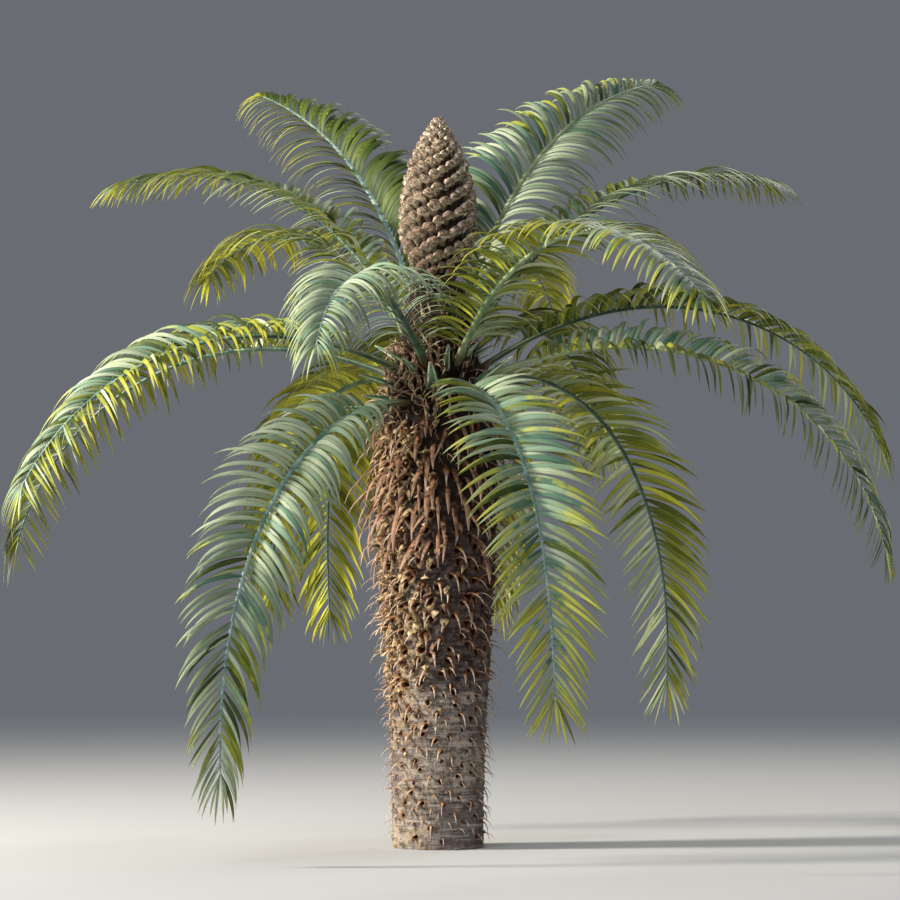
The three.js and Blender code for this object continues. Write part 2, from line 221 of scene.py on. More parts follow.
def solid(name, rings, finishes, slots=0, ends=(0, 0), numbers=None, sharp=50.0):
    """Closed bodies from rings of points, as an array (body, ring, side, xyz).

    Each ring is joined to the next by quads and both ends are capped. slots is the finish of
    each quad (body, ring gap, side), and ends that of the first and of the last cap. numbers
    are values for each point. Edges that turn more than sharp degrees stay crisp.
    """
    bodies, count, sides, _ = rings.shape
    ids = np.arange(bodies * count * sides).reshape(bodies, count, sides)
    here, on = ids[:, :-1], ids[:, 1:]
    quads = np.stack([here, np.roll(here, -1, 2), np.roll(on, -1, 2), on], -1)
    corners = np.concatenate([quads.ravel(), ids[:, 0, ::-1].ravel(), ids[:, -1].ravel()])
    lengths = np.repeat([4, sides], [quads.size // 4, 2 * bodies])
    slots = [np.broadcast_to(slots, quads.shape[:3]).ravel()]
    slots = np.concatenate(slots + [np.broadcast_to(end, bodies) for end in ends])

    mesh = bpy.data.meshes.new(name)
    mesh.vertices.add(ids.size)
    mesh.vertices.foreach_set("co", rings.astype(np.float32).ravel())
    mesh.loops.add(len(corners))
    mesh.loops.foreach_set("vertex_index", corners.astype(np.int32))
    mesh.polygons.add(len(lengths))
    mesh.polygons.foreach_set("loop_start", (np.cumsum(lengths) - lengths).astype(np.int32))
    for finish in finishes:
        mesh.materials.append(finish.material)
    mesh.polygons.foreach_set("material_index", slots.astype(np.int32))
    for key, values in (numbers or {}).items():
        attribute = mesh.attributes.new(key, "FLOAT", "POINT")
        values = np.broadcast_to(values, ids.shape).astype(np.float32)
        attribute.data.foreach_set("value", values.ravel())
    mesh.update(calc_edges=True)
    mesh.shade_smooth()
    mesh.set_sharp_from_angle(angle=np.radians(sharp))
    piece = placed(name, mesh)
    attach(piece, "root")
    return piece


# Trunk. A living column under a coat of old leaf bases, pale and ringed low down, where
# they have weathered away, and dark and shaggy under the crown, where painted shade takes
# the bark nearly to black. One closed mesh of relief.
TRUNK_HEIGHTS = [
    0, 0.06, 0.26, 0.40, 0.54, 0.68, 0.80, 0.95, 1.09, 1.18, 1.26, 1.33, 1.40, 1.47, 1.55,
]
TRUNK_RADII = [
    0.127, 0.124, 0.128, 0.133, 0.140, 0.147, 0.154, 0.158,
    0.156, 0.150, 0.134, 0.112, 0.096, 0.084, 0.062,
]
BARK_SIDES = 250
BARK_ROWS = 345
BARK_TOP = 1.20
CROWN_ROWS = 40
LUMPS_TOP = 1.7
GOLDEN_TURN = np.radians(137.508)
LEAF_BASES = 700
BASE_LOWEST = 0.030
BASE_HIGHEST = 1.19
BASE_STRAY = (0.006, 0.05)
POCKET_HALF = (0.0050, 0.0098)
POCKET_TALL = (0.9, 1.9)
POCKET_POWER = 1.35
POCKET_DEPTH = 0.013
POCKET_REACH = 0.05
RIM_AT = 1.55
PAD_RISE = 0.0055
RING_PITCH = 0.0155
RING_WAVER = 0.009
RING_DEPTH = 0.0015
CRUMB_DEPTH = 0.0011
SHAG_DEPTH = 0.0045
# The side where the straw coat weathers most faces the key lamp, so its pale straw is partly
# painted light.
WEATHER_AND_LIT_SIDE = np.radians(206)
WORN_BELOW = 0.34
WORN_FADE = 0.30

random = np.random.default_rng(21)


def trunk_radius(height):
    return np.interp(height, TRUNK_HEIGHTS, TRUNK_RADII)


def around(radius, turn, height):
    """Points from their radius and turn about +Z and their height."""
    return np.stack([radius * np.cos(turn), radius * np.sin(turn), height], -1)


def lumps(turn, height, around, pitch):
    """Smooth random relief from -1 to 1: random values on cells, blended by a smooth step.

    There are around cells in a turn, and each is pitch metres high.
    """
    table = random.uniform(-1, 1, (int(LUMPS_TOP / pitch) + 3, around))
    x, y = turn / (2 * np.pi) * around, height / pitch
    i, j = np.floor(x).astype(int), np.floor(y).astype(int)
    u, v = x - i, y - j
    u, v = u * u * (3 - 2 * u), v * v * (3 - 2 * v)
    low = table[j, i % around] * (1 - u) + table[j, (i + 1) % around] * u
    high = table[j + 1, i % around] * (1 - u) + table[j + 1, (i + 1) % around] * u
    return low * (1 - v) + high * v


bases = np.arange(LEAF_BASES)
base_height = BASE_LOWEST + (BASE_HIGHEST - BASE_LOWEST) * (bases + 0.5) / LEAF_BASES
base_height += random.normal(0, BASE_STRAY[0], LEAF_BASES)
base_turn = bases * GOLDEN_TURN + random.normal(0, BASE_STRAY[1], LEAF_BASES)
base_open = random.random(LEAF_BASES) < np.interp(base_height, [0.1, 0.50], [0.50, 0.97])
pocket_wide = random.uniform(*POCKET_HALF, LEAF_BASES)
pocket_wide *= np.interp(base_height, [0.30, 0.55], [0.72, 1.12])
pocket_high = pocket_wide * random.uniform(*POCKET_TALL, LEAF_BASES)
pocket_high *= np.interp(base_height, [0.30, 0.55], [0.70, 1.0])

bark_heights = np.concatenate([
    np.linspace(0, BARK_TOP, BARK_ROWS),
    np.linspace(BARK_TOP, TRUNK_HEIGHTS[-1], CROWN_ROWS)[1:],
])
turn, height = np.meshgrid(np.arange(BARK_SIDES) * 2 * np.pi / BARK_SIDES, bark_heights)
ragged = lumps(turn, height, 110, 0.008)
pocket, pad = np.zeros_like(turn), np.zeros_like(turn)
# Each pocket is a rounded diamond with ragged sides, sunk in a pad that is highest below it.
for i in np.nonzero(base_open)[0]:
    rows = np.abs(bark_heights - base_height[i]) < POCKET_REACH
    away = (turn[rows] - base_turn[i] + np.pi) % (2 * np.pi) - np.pi
    across = np.abs(away * trunk_radius(base_height[i]) / pocket_wide[i])
    up = (height[rows] - base_height[i]) / pocket_high[i]
    reach = (across**POCKET_POWER + np.abs(up) ** POCKET_POWER) ** (1 / POCKET_POWER)
    reach += 0.38 * ragged[rows]
    pocket[rows] = np.maximum(pocket[rows], np.exp(-(np.maximum(reach, 0) ** 3.5)))
    rim = np.exp(-((reach - RIM_AT) ** 2) / 0.28) * (1 - 0.4 * np.tanh(up))
    pad[rows] = np.maximum(pad[rows], rim)
old = 1 - np.clip((height - WORN_BELOW) / WORN_FADE, 0, 1)
ring_height = height + RING_WAVER * lumps(turn, height, 7, 0.11)
groove = np.maximum(np.sin(2 * np.pi * ring_height / RING_PITCH), 0) ** 6
groove *= 0.5 + 0.5 * lumps(turn, height, 16, 0.03)
crumbs = lumps(turn, height, 12, 0.0070) + 0.7 * lumps(turn, height, 34, 0.0045)
shag = lumps(turn, height, 60, 0.03) + 0.6 * ragged
bark = trunk_radius(height) + PAD_RISE * pad * (1 - 0.45 * old) - POCKET_DEPTH * pocket
bark = bark - RING_DEPTH * groove + CRUMB_DEPTH * crumbs + SHAG_DEPTH * shag * (1 - 0.75 * old)
# Straw-coloured weathered coat on the rims between pockets, thickest on the side the key
# lamp lights, so that it is partly real weathering and partly painted light.
coat = np.clip(2.3 * np.cos(turn - WEATHER_AND_LIT_SIDE) - 0.95 + 0.5 * shag, 0, 1) * (1 - 0.55 * old)
coat *= np.clip(pad + 0.55 * ragged + 0.02 + 0.65 * old, 0, 1)
coat *= np.clip((BARK_TOP - height) / 0.1, 0, 1)

bark_finish = Finish("weathered_bark", Roughness=0.92, Specular_IOR_Level=0.2)
bark_up = bark_finish.height()
bark_line = bark_finish.cloud(8.0, 8.0, 11.0, 0.80)
bark_tick = bark_finish.cloud(190.0, 3.0, 0.16, 0.6)
bark_patch = bark_finish.cloud(7.0, 4.0)
bark_crack = bark_finish.cloud(38.0, 5.0, 1.3, 0.75)
bark_hole = bark_finish.own("pocket")
bark_pale = bark_finish.coats(
    (0.105, 0.082, 0.074),
    ((bark_crack * 0.7 + bark_tick * 0.3).between(0.40, 0.60), (0.44, 0.365, 0.30)),
    (bark_patch.between(0.44, 0.58) * 0.75, (0.150, 0.125, 0.128)),
    (bark_line.between(0.53, 0.60) * 0.70, (0.56, 0.50, 0.44)),
    ((1 - bark_line).between(0.53, 0.60) * 0.85, (0.072, 0.050, 0.044)),
)
bark_dark_and_shaded = bark_finish.coats(
    (0.030, 0.020, 0.019),
    ((bark_line * 0.4 + bark_crack * 0.6).between(0.42, 0.62), (0.185, 0.135, 0.12)),
    # Painted shade: under the crown, from about 0.7 m up, the bark is taken nearly to black.
    (bark_up.between(0.68, 1.05) * 0.92, (0.014, 0.008, 0.006)),
)
bark_straw = bark_finish.blend(
    bark_crack.between(0.38, 0.62), (0.115, 0.064, 0.032), (0.56, 0.415, 0.235)
)
bark_finish.set("Base Color", bark_finish.coats(
    bark_dark_and_shaded,
    ((bark_up + (bark_patch - 0.5) * 0.6).between(0.56, 0.36), bark_pale),
    (bark_finish.own("coat").between(0.15, 0.65), bark_straw),
    (bark_hole.between(0.02, 0.16) * 0.9, (0.21, 0.085, 0.045)),
    # Painted shade: the deep middle of each pocket is nearly black, inside its own red-brown ring.
    (bark_hole.between(0.18, 0.65), (0.045, 0.015, 0.010)),
))
bark_finish.relief(bark_line * 0.5 + bark_tick * 0.15 + bark_crack * 0.35, 0.009)

trunk = solid(
    "trunk_bark", around(bark, turn, height)[None], [bark_finish],
    numbers={"pocket": pocket, "coat": coat}, sharp=80.0,
)
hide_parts("trunk")


def tongues(root, turn, pitch, curl, swerve, length, half_width, half_depth, taper, sides, cup):
    """Tapering tongues that leave a wall and bend down, as rings for solid.

    Pitch falls by curl and the turn about +Z changes by swerve from root to tip, both
    evenly. The section is an ellipse, raised in its middle by cup times its half width, and
    taper gives its share of full size at each ring.
    """
    count = taper.shape[-1]
    share = np.linspace(0, 1, count)
    middle = (share[1:] + share[:-1]) / 2

    def heading(at):
        slope = pitch[:, None] - curl[:, None] * at
        head = turn[:, None] + swerve[:, None] * at
        level = np.cos(slope)
        return np.stack([level * np.cos(head), level * np.sin(head), np.sin(slope)], -1), head

    steps = heading(middle)[0] * (length / (count - 1))[:, None, None]
    path = np.concatenate([root[:, None], root[:, None] + np.cumsum(steps, 1)], 1)
    along, head = heading(share)
    side = np.stack([-np.sin(head), np.cos(head), 0 * head], -1)
    face = np.cross(along, side)
    angle = (np.arange(sides) * 2 * np.pi / sides)[:, None]
    half = (half_width[:, None] * taper)[..., None, None]
    deep = (half_depth[:, None] * taper)[..., None, None] * np.sin(angle)
    deep = deep + half * cup * (1 - np.cos(angle) ** 2)
    return path[:, :, None] + side[:, :, None] * half * np.cos(angle) + face[:, :, None] * deep


def strewn(
    root, turn, *, swing, pitch, curl, swerve, length, half, depth, taper, sides=4, cup=0.0,
    size=1.0, girth=None,
):
    """Tongues that chance turns, bends and sizes.

    swing and swerve are spreads in radians, pitch and curl each a middle and a spread in
    degrees, and length and half ranges in metres, which size and girth multiply.
    """
    count = len(turn)
    turn = turn + random.normal(0, swing, count)
    pitch = np.radians(pitch[0] + random.normal(0, pitch[1], count))
    curl = np.radians(curl[0] + random.normal(0, curl[1], count))
    swerve = random.normal(0, swerve, count)
    length = random.uniform(*length, count) * size
    half = random.uniform(*half, count) * (size if girth is None else girth)
    depth = np.broadcast_to(depth, count)
    return tongues(root, turn, pitch, curl, swerve, length, half, depth, taper, sides, cup)


def on_trunk(turn, height, out):
    """Points at a distance outside the trunk's surface."""
    return around(trunk_radius(height) + out, turn, height)


def from_root(rings):
    """0 at each body's first ring and 1 at its last, evenly."""
    return np.linspace(0, 1, rings.shape[1])[:, None]


def mottled(name, roughness, noise, dark, pale, depth, span=(0.35, 0.65), fine=None, tinge=None):
    """A finish that goes from a dark to a pale colour as soft noise crosses a span.

    noise and fine are what cloud takes, and fine is the relief's own. tinge lays on one more
    colour: the mesh's number that drives it, its span, the most it covers and the colour.
    """
    made = Finish(name, Roughness=roughness)
    grain = made.cloud(*noise)
    shade = made.blend(grain.between(*span), dark, pale)
    if tinge:
        number, reach, most, over = tinge
        shade = made.blend(made.own(number).between(*reach) * most, shade, over)
    made.set("Base Color", shade)
    made.relief(made.cloud(*fine) if fine else grain, depth)
    return made


# Leaf-base spines. What is left of each old leaf is a woody claw that stands out over its
# pocket and hooks down: slender low on the trunk, a long flat hanging strip under the crown.
STRIP_LENGTH = 0.122
STRIP_HALF = 0.0068
CLAW_LENGTH = (0.044, 0.028)
CLAW_HALF = (0.0064, 0.0018)
CLAW_TAPER = np.array([1.0, 1.0, 0.80, 0.58, 0.42, 0.33, 0.26, 0.18, 0.06])
STRIP_TAPER = np.array([0.60, 0.90, 1.0, 1.0, 0.94, 0.83, 0.66, 0.42, 0.10])

spine_share = np.clip((base_height - 0.25) / 0.45, 0, 1)
strip = random.random(LEAF_BASES) < np.interp(base_height, [0.72, 0.92], [0.0, 0.9])
spine_rings = strewn(
    on_trunk(base_turn, base_height + np.where(strip, 0.014, 0.006), -0.010), base_turn,
    swing=0.16, pitch=(np.where(strip, -22, 10), 12), curl=(np.where(strip, 62, 84), 12),
    swerve=0.45, length=(0.72, 1.32), half=(0.65, 1.3), depth=np.where(strip, 0.0012, 0.0026),
    taper=np.where(strip[:, None], STRIP_TAPER, CLAW_TAPER), sides=6, cup=0.12,
    size=np.where(strip, STRIP_LENGTH, CLAW_LENGTH[0] + CLAW_LENGTH[1] * spine_share),
    girth=np.where(strip, STRIP_HALF, CLAW_HALF[0] + CLAW_HALF[1] * spine_share),
)

claw = Finish("old_claw", Roughness=0.78)
claw_grain = claw.cloud(110.0, 3.0, 0.3)
claw_mark = claw_grain.between(0.35, 0.65)
claw_root = claw.blend(claw_mark, (0.17, 0.055, 0.015), (0.56, 0.27, 0.085))
claw_end = claw.blend(claw_mark, (0.28, 0.19, 0.14), (0.66, 0.51, 0.39))
claw.set("Base Color", claw.blend(claw.own("along").between(0.22, 0.60), claw_root, claw_end))
claw.relief(claw_grain, 0.0012)
dry_strip = mottled(
    "dry_strip", 0.78, (80.0, 4.0, 0.2), (0.085, 0.032, 0.018), (0.50, 0.26, 0.145), 0.0015,
    (0.35, 0.68), tinge=("along", (0.45, 1.0), 0.6, (0.50, 0.35, 0.25)),
)

spines = solid(
    "trunk_spines", spine_rings, [claw, dry_strip], strip[:, None, None], (strip, strip),
    {"along": from_root(spine_rings)},
)
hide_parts("trunk")


# Dry fibre. A folded straw-coloured plate is left over most pockets and torn flakes edge
# them. Husks and loose fibre lie between the spines, thickest and mostly straw-coloured on
# the side the key lamp lights: partly real weathering and partly painted light.
FLAKES_EACH = 2
FLAKE_AT = 1.15
HUSKS = 260
STRANDS = 800
PLATE_TAPER = np.array([0.70, 1.0, 0.92, 0.66, 0.36, 0.06])
FLAKE_TAPER = np.array([0.7, 1.0, 0.9, 0.66, 0.36, 0.08])
HUSK_TAPER = np.array([0.85, 1.0, 0.84, 0.60, 0.34, 0.05])
STRAND_TAPER = np.array([0.55, 1.0, 0.95, 0.75, 0.5, 0.12])

base_facing = np.cos(base_turn - WEATHER_AND_LIT_SIDE)
flake_share = np.where(base_facing > 0.45, 1.0, 0.35)
flakes = np.nonzero(base_open & (random.random(LEAF_BASES) < flake_share))[0]
flakes = np.repeat(flakes, FLAKES_EACH)
flake_angle = random.uniform(0, 2 * np.pi, len(flakes))
flake_aside = np.cos(flake_angle) * pocket_wide[flakes] * FLAKE_AT
flake_above = np.sin(flake_angle) * pocket_high[flakes] * FLAKE_AT
flake_rings = strewn(
    on_trunk(
        base_turn[flakes] + flake_aside / trunk_radius(base_height[flakes]),
        base_height[flakes] + flake_above, -0.003,
    ),
    base_turn[flakes] + 0.9 * np.cos(flake_angle),
    swing=0.3, pitch=(45 * np.sin(flake_angle), 18), curl=(35, 35), swerve=0.5,
    length=(0.008, 0.017), half=(0.0022, 0.0052), depth=0.0008, taper=FLAKE_TAPER, cup=0.2,
)

plate_weather_and_lit = base_facing > random.normal(0.50, 0.22, LEAF_BASES)
plate_lowest = 0.40 + random.normal(0, 0.11, LEAF_BASES)
plate_keep = (base_height > plate_lowest) & (base_height < 1.17)
plates = np.nonzero(plate_keep & (plate_weather_and_lit | (random.random(LEAF_BASES) < 0.10)))[0]
plate_aside = random.normal(0, 0.03, len(plates))
plate_rings = strewn(
    on_trunk(base_turn[plates] + plate_aside, base_height[plates] + 0.019, -0.002),
    base_turn[plates],
    swing=0.55, pitch=(-18, 14), curl=(30, 26), swerve=0.5,
    length=(0.024, 0.044), half=(0.0085, 0.0150), depth=0.0009, taper=PLATE_TAPER, cup=0.42,
    size=np.interp(base_height[plates], [0.30, 0.60], [0.60, 1.0]),
)


def weather_and_lit_turns(count, share, spread):
    """Turns about the trunk, a share of them on the weathered, lit side, and which those are."""
    near = random.random(count) < share
    gathered = WEATHER_AND_LIT_SIDE + random.normal(0, spread, count)
    return np.where(near, gathered, random.uniform(0, 2 * np.pi, count)), near


husk_turn, husk_weather_and_lit = weather_and_lit_turns(HUSKS, 0.84, 0.42)
husk_rings = strewn(
    on_trunk(husk_turn, 0.40 + 0.80 * random.beta(1.7, 1.25, HUSKS), -0.006), husk_turn,
    swing=0.85, pitch=(8, 36), curl=(40, 35), swerve=0.6,
    length=(0.024, 0.056), half=(0.0060, 0.0140), depth=0.0008, taper=HUSK_TAPER, cup=0.40,
)
strand_turn, strand_weather_and_lit = weather_and_lit_turns(STRANDS, 0.6, 0.50)
strand_rings = strewn(
    on_trunk(strand_turn, 0.36 + 0.86 * random.beta(2.2, 1.3, STRANDS), -0.004), strand_turn,
    swing=0.6, pitch=(-15, 35), curl=(42, 32), swerve=0.6,
    length=(0.018, 0.044), half=(0.0008, 0.0026), depth=0.0006, taper=STRAND_TAPER,
)


straw = mottled(
    "straw_fibre", 0.7, (60.0, 3.0), (0.20, 0.115, 0.048), (0.74, 0.545, 0.30), 0.0008,
    (0.36, 0.64), tinge=("along", (0.45, 0.05), 0.85, (0.070, 0.034, 0.017)),
)
rust = mottled("rust_fibre", 0.8, (60.0, 3.0), (0.10, 0.048, 0.032), (0.30, 0.175, 0.11), 0.0008)

fibre_rings = np.concatenate([flake_rings, plate_rings, husk_rings, strand_rings])
fibre_weather_and_lit = np.concatenate([
    base_facing[flakes] > -0.2, plate_weather_and_lit[plates], husk_weather_and_lit, strand_weather_and_lit,
])
# Fibre on the weathered, lit side is mostly straw and elsewhere mostly rust: partly painted light.
fibre_rusty = random.random(len(fibre_rings)) >= np.where(fibre_weather_and_lit, 0.74, 0.14)
fibres = solid(
    "trunk_fibres", fibre_rings, [straw, rust], fibre_rusty[:, None, None],
    (fibre_rusty, fibre_rusty), {"along": from_root(fibre_rings)},
)
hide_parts("trunk")


# Crown scales. Between the frond stalks the growing end of the trunk is packed with short
# pointed scale leaves and curled flakes, in the leaf bases' spiral, up to the cone's seat.
CROWN_SCALES = 620
CROWN_BOTTOM = 1.15
CROWN_HEIGHT = 0.385
CURLS = 150
SCALE_TAPER = np.array([0.8, 1.0, 0.98, 0.85, 0.62, 0.34, 0.06])
CURL_TAPER = np.array([0.6, 0.9, 1.0, 0.95, 0.8, 0.6, 0.25])

scales = np.arange(CROWN_SCALES)
scale_height = CROWN_BOTTOM + CROWN_HEIGHT * (scales + 0.5) / CROWN_SCALES
scale_turn = scales * GOLDEN_TURN + random.normal(0, 0.08, CROWN_SCALES)
scale_size = 1 - 0.35 * (scales / CROWN_SCALES)
scale_rings = strewn(
    on_trunk(scale_turn, scale_height, -0.010), scale_turn,
    swing=0.2, pitch=(34, 16), curl=(-14, 34), swerve=0.4,
    length=(0.040, 0.082), half=(0.0035, 0.0072), depth=0.0016 * scale_size,
    taper=SCALE_TAPER, sides=6, size=scale_size,
)
curl_turn = np.radians(random.normal(228, 42, CURLS))
curl_rings = strewn(
    on_trunk(curl_turn, random.uniform(1.21, 1.38, CURLS), 0.004), curl_turn,
    swing=0.6, pitch=(30, 30), curl=(75, 60), swerve=0.9,
    length=(0.035, 0.085), half=(0.0028, 0.0065), depth=0.0010,
    taper=CURL_TAPER, sides=6, cup=0.5,
)

scale_brown = mottled(
    "crown_scale", 0.85, (70.0, 4.0), (0.018, 0.009, 0.006), (0.13, 0.070, 0.044), 0.002,
    (0.35, 0.68),
)
curl_tan = mottled(
    "crown_curl", 0.8, (55.0, 4.0), (0.20, 0.115, 0.065), (0.55, 0.40, 0.26), 0.0015,
    (0.35, 0.66),
)

scale_tan = np.concatenate([random.random(CROWN_SCALES) < 0.10, np.ones(CURLS, bool)])
scale_slots = np.repeat(scale_tan[:, None, None], len(SCALE_TAPER) - 1, 1)
scale_slots[:, -2:] = True
crown = solid(
    "crown_scales", np.concatenate([scale_rings, curl_rings]), [scale_brown, curl_tan],
    scale_slots, (scale_tan, True),
)
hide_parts("trunk")


# Cone. The seed cone is a core, painted dark as shade, set with woody scales in six spirals
# that climb to the right. Each is a stalk, painted dark inside as shade, that leans out to a
# pale tan knob with two lobes.
CONE_SEAT = 1.5503
CONE_HEIGHTS = [0, 0.04, 0.085, 0.125, 0.18, 0.23, 0.28, 0.33, 0.375, 0.415, 0.445, 0.464]
CONE_RADII = [0.040, 0.064, 0.088, 0.104, 0.106, 0.101, 0.094, 0.080, 0.063, 0.042, 0.022, 0.006]
CONE_SET_FROM = 0.006
CONE_SET_TO = 0.452
CORE_DEPTH = 0.036
CORE_SIDES = 48
CORE_ROWS = 40
CONE_SPIRALS = 6
CONE_CLIMB = np.tan(np.radians(24))
CONE_STEP = np.radians(17.0)
CLIMB_ROWS = 600
KNOB_SIDES = 10
KNOB_TAPER = np.array([0.40, 0.44, 0.48, 0.52, 0.70, 0.96, 1.0, 0.88, 0.50])
KNOB_LENGTH = 0.052
KNOB_HALF = 0.0172
KNOB_HALF_DEPTH = 0.0122
KNOB_SINK = (0.034, 0.031)
CROWDED_BELOW = 0.062


def cone_radius(height):
    return np.interp(height, CONE_HEIGHTS, CONE_RADII)


core_turns = np.arange(CORE_SIDES) * np.pi / (CORE_SIDES / 2)
core_turn, core_height = np.meshgrid(core_turns, np.linspace(0.002, CONE_SET_TO, CORE_ROWS))
core_radius = np.maximum(cone_radius(core_height) - CORE_DEPTH, 0.003)
core_rings = around(core_radius, core_turn, CONE_SEAT + core_height)
# Painted shade: the core is nearly black, so that the gaps between the rows of scales read dark.
core_painted_shade = mottled(
    "cone_core", 0.9, (110.0, 4.0), (0.022, 0.012, 0.009), (0.10, 0.064, 0.045), 0.002
)
core = solid("cone_core", core_rings[None], [core_painted_shade])
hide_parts("cone")

# A spiral climbs at the same slope all the way, so it turns faster where the cone is thin.
climb_rows = np.linspace(CONE_SET_FROM, CONE_SET_TO, CLIMB_ROWS)
climb_steps = np.diff(climb_rows) / (cone_radius(climb_rows[1:]) * CONE_CLIMB)
climb_turn = np.concatenate([[0], np.cumsum(climb_steps)])
knob_steps = np.arange(int(climb_turn[-1] / CONE_STEP))
knob_height = np.tile(np.interp(knob_steps * CONE_STEP, climb_turn, climb_rows), CONE_SPIRALS)
knob_spiral = np.repeat(np.arange(CONE_SPIRALS), len(knob_steps))
knob_turn = np.tile(knob_steps * CONE_STEP, CONE_SPIRALS) + knob_spiral * 2 * np.pi / CONE_SPIRALS
# Near the tip every second scale is left out, and the others are larger.
knob_girth = cone_radius(knob_height)
crowded = knob_girth < CROWDED_BELOW
kept = ~crowded | (np.tile(knob_steps % 2, CONE_SPIRALS) == 0)
knob_height, knob_turn, knob_girth, crowded = (
    values[kept] for values in (knob_height, knob_turn, knob_girth, crowded)
)
knobs = len(knob_turn)
knob_turn += random.normal(0, 0.03, knobs)
knob_size = np.clip(knob_girth / 0.100, 0.30, 1.0) * np.where(crowded, 1.35, 1.0)
knob_size *= random.uniform(0.90, 1.08, knobs)
knob_radius = np.maximum(knob_girth - KNOB_SINK[0] * knob_size, 0.004)
knob_bottom = CONE_SEAT + knob_height - KNOB_SINK[1] * knob_size
knob_root = around(knob_radius, knob_turn, np.maximum(knob_bottom, CONE_SEAT - 0.004))
knob_pitch = 66 + 16 * np.clip((knob_height - 0.30) / 0.16, 0, 1) + random.normal(0, 3, knobs)
knob_curl = 56 - 40 * np.clip((knob_height - 0.34) / 0.10, 0, 1)
knob_rings = tongues(
    knob_root, knob_turn, np.radians(knob_pitch), np.radians(knob_curl), np.zeros(knobs),
    KNOB_LENGTH * knob_size, KNOB_HALF * knob_size, KNOB_HALF_DEPTH * knob_size,
    KNOB_TAPER, KNOB_SIDES, 0.0,
)
# The head's lower face is drawn in at its middle, which leaves two lobes, and all is uneven.
knob_middle = knob_rings.mean(2, keepdims=True)
knob_angle = np.arange(KNOB_SIDES) * 2 * np.pi / KNOB_SIDES
lobe = 0.30 * np.clip(-np.sin(knob_angle), 0, 1) * (np.abs(np.cos(knob_angle)) * 2.6 - 1.0)
lobe_share = np.clip((np.arange(len(KNOB_TAPER)) - 3) / 2, 0, 1)
lobe = (1 + lobe * lobe_share[:, None]) * (1 + random.normal(0, 0.085, knob_rings.shape[:3]))
knob_rings = knob_middle + (knob_rings - knob_middle) * lobe[..., None]

knob_finish = Finish("cone_scale", Roughness=0.86, Specular_IOR_Level=0.25)
knob_grain = knob_finish.cloud(170.0, 5.0, rough=0.68)
knob_spot = knob_finish.cloud(75.0, 3.0)
knob_out = knob_finish.own("along")
knob_up = knob_finish.height()
stalk_shade = knob_finish.blend(
    knob_grain.between(0.34, 0.66), (0.62, 0.48, 0.32), (1.0, 0.94, 0.76)
)
# Painted shade: the outer end of each knob is darker than its top.
knob_end_painted_shade = knob_finish.blend(
    knob_grain.between(0.38, 0.68), (0.095, 0.055, 0.036), (0.56, 0.41, 0.28)
)
head_shade = knob_finish.coats(
    (0.52, 0.38, 0.25),
    (knob_grain.between(0.36, 0.66), (1.0, 0.92, 0.74)),
    (knob_spot.between(0.51, 0.61) * 0.85, (0.080, 0.046, 0.033)),
    (knob_out.between(0.80, 0.96), knob_end_painted_shade),
)
knob_finish.set("Base Color", knob_finish.coats(
    stalk_shade,
    (knob_out.between(0.50, 0.66), head_shade),
    # Painted shade: the sunk inner part of each stalk is darkened.
    (knob_out.between(0.46, 0.22) * 0.75, (0.065, 0.036, 0.024)),
    (knob_up.between(CONE_SEAT + 0.085, CONE_SEAT + 0.005) * 0.8, (0.085, 0.040, 0.026)),
    (knob_up.between(CONE_SEAT + 0.28, CONE_SEAT + 0.03) * 0.45, (0.15, 0.085, 0.052)),
))
knob_finish.relief(knob_grain * 0.7 + knob_spot * 0.3, 0.0034)

cone = solid("cone_scales", knob_rings, [knob_finish], numbers={"along": from_root(knob_rings)})
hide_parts("cone")


# Frond ribs. Each frond hangs on one stiff rib: a stout green stalk with a channel on top,
# bare near the trunk and tapering to a point, blue-green above and dark below.
SWEEP_EASE = 1.5
PATH_STEPS = 240
STALK_TOP = 1.36
STALK_TOP_RADIUS = 0.078
STALK_SPREAD = 0.27
RIB_ROWS = 61
RIB_SIDES = 12
RIB_TIP_HALF = 0.0018
RIB_HALF = 0.0082
RIB_FLARE = 0.0085
RIB_FLARE_LENGTH = 0.035
RIB_EDGE_REACH = 0.22
RIB_CHANNEL = 0.30
